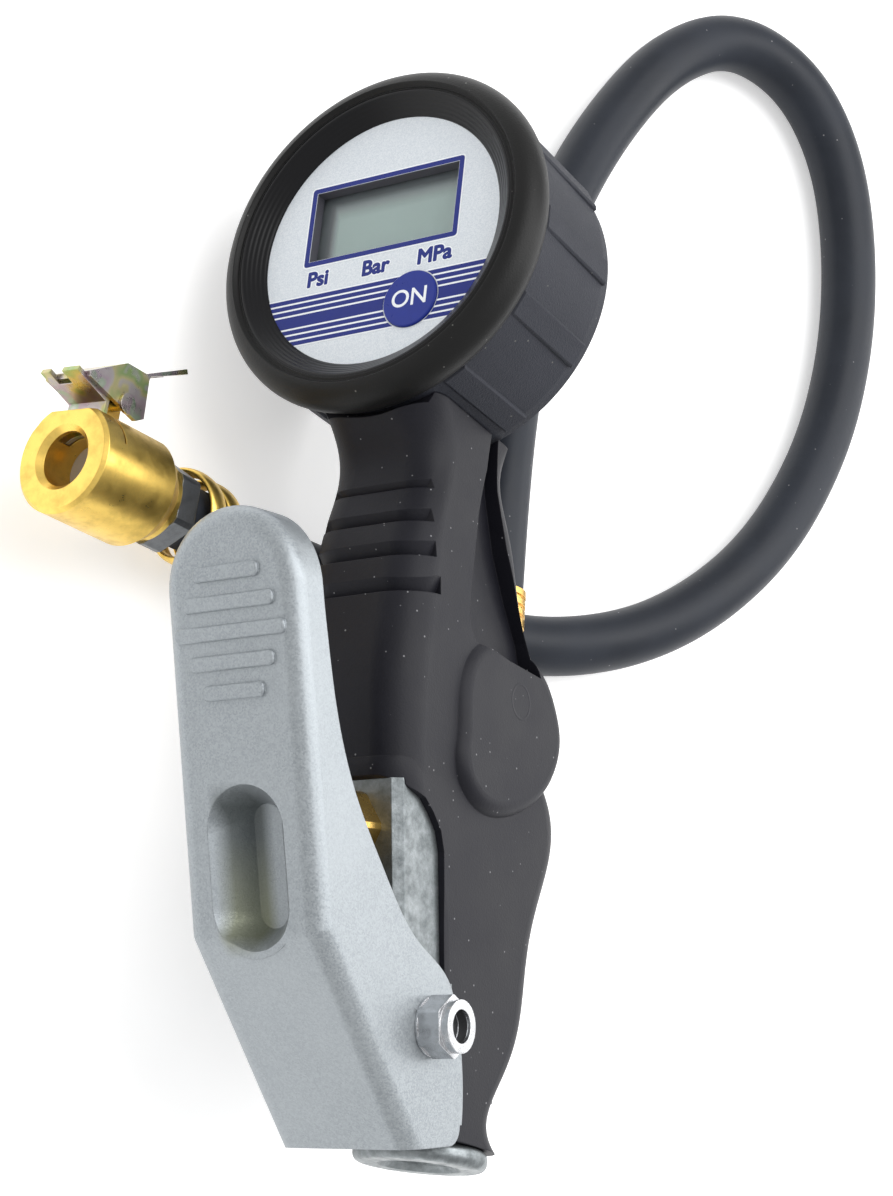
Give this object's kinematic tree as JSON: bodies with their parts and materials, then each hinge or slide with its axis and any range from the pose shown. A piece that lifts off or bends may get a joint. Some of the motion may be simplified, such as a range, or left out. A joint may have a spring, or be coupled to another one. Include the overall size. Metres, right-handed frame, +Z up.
{
  "type": "digital tyre inflator gun",
  "caption": "Pistol-shaped digital tyre inflator: rubber-booted gauge on a soft grip, pressed steel trigger, air hose and a clip-on brass chuck.",
  "frame": {"origin": "bottom centre of the box round the rigid tool (hose and chuck left out), on the surface it rests on", "axes": "+Y along the grip from the air inlet to the gauge, +Z up from the surface, +X towards the back of the tool; the tool lies rolled 30 degrees about Y"},
  "size_m": [0.2175, 0.2641, 0.0805],
  "materials": {
    "boot_rubber": "moulded matte rubber, fine grain",
    "bezel_plastic": "satin black",
    "case_plastic": "moulded black plastic",
    "dial_print": "silver face plate with blue print",
    "clear_window": "clear",
    "lcd_cell": "grey-green reflective liquid crystal cell",
    "contact_rubber": "striped conductive rubber",
    "board_green": "solder mask",
    "small_steel": "bright",
    "button_blue": "smooth blue with a white word",
    "switch_plastic": "moulded",
    "turned_brass": "turned",
    "copper_washer": "annealed copper",
    "filter_bronze": "sintered",
    "cast_alloy": "as cast, tumbled",
    "grip_rubber": "soft-touch, matte",
    "trigger_paint": "speckled silver powder coat",
    "zinc_steel": "bright zinc plate",
    "bush_steel": "ground",
    "ring_nylon": "moulded",
    "seal_rubber": "moulded",
    "chuck_seal_rubber": "light grey",
    "spring_steel": "wire",
    "hose_rubber": "smooth matte rubber",
    "chuck_brass": "satin brass",
    "nut_steel": "dark steel",
    "clip_plate": "yellow zinc plate"
  },
  "bodies": {
    "tool": {"air_hose": "hose_rubber", "battery": "small_steel", "battery_contact": "small_steel", "battery_cover": "case_plastic", "battery_holder": "case_plastic", "board_screws": "small_steel", "button_switch": "switch_plastic", "chuck_barb": "chuck_brass", "chuck_body": "chuck_brass", "chuck_depressor": "chuck_brass", "chuck_nut": "nut_steel", "chuck_seal": "chuck_seal_rubber", "circuit_board": "board_green", "clip_pin": "clip_plate", "clip_spring": "spring_steel", "dial_face": "dial_print", "gallery_plug": "turned_brass", "gauge_bezel": "bezel_plastic", "gauge_boot": "boot_rubber", "gauge_case": "case_plastic", "gauge_seal_washer": "copper_washer", "gauge_stem": "turned_brass", "gland_nut": "turned_brass", "grip_sleeve": "grip_rubber", "hose_adapter": "turned_brass", "hose_ferrule": "turned_brass", "inlet_filter": "filter_bronze", "lcd_contact_strips": "contact_rubber", "lcd_panel": "lcd_cell", "lcd_window": "clear_window", "lock_nut_ring": "ring_nylon", "pivot_bolt": "zinc_steel", "pivot_bush": "bush_steel", "pivot_lock_nut": "zinc_steel", "pivot_washers": "zinc_steel", "pressure_sensor": "turned_brass", "spring_guard": "chuck_brass", "stem_seal": "seal_rubber", "valve_body": "cast_alloy", "valve_plug": "turned_brass", "valve_spring": "spring_steel"},
    "trigger": {"trigger_lever": "trigger_paint"},
    "stem": {"valve_stem": "turned_brass", "valve_seal": "seal_rubber"},
    "button": {"on_button": "button_blue"},
    "clip": {"clip_lever": "clip_plate", "clip_jaw": "clip_plate"}
  },
  "joints": [
    {"name": "trigger_hinge", "type": "hinge", "parent": "tool", "child": "trigger", "pos_m": [-0.00505, -0.07964, 0.04878], "axis": [-0.5, 0, -0.866], "range_deg": [0, 8.5], "stiffness_Nm_per_rad": 2.5, "springref_deg": -3.09},
    {"name": "stem_slide", "type": "slide", "parent": "tool", "child": "stem", "axis": [0.866, 0, -0.5], "range_m": [0, 0.0056], "deforming": ["valve_spring"]},
    {"name": "button_press", "type": "slide", "parent": "tool", "child": "button", "axis": [0.8471, -0.2079, -0.4891], "range_m": [0, 0.0006], "stiffness_N_per_m": 400, "springref_m": -0.0006},
    {"name": "clip_hinge", "type": "hinge", "parent": "tool", "child": "clip", "pos_m": [-0.04847, 0.03629, 0.02811], "axis": [-0.4626, 0.0816, -0.8828], "range_deg": [0, 9], "stiffness_Nm_per_rad": 0.1, "springref_deg": -22.92}
  ],
  "couplings": [
    {"joint": "stem_slide", "follows": "trigger_hinge", "m_per_rad": 0.0371}
  ]
}
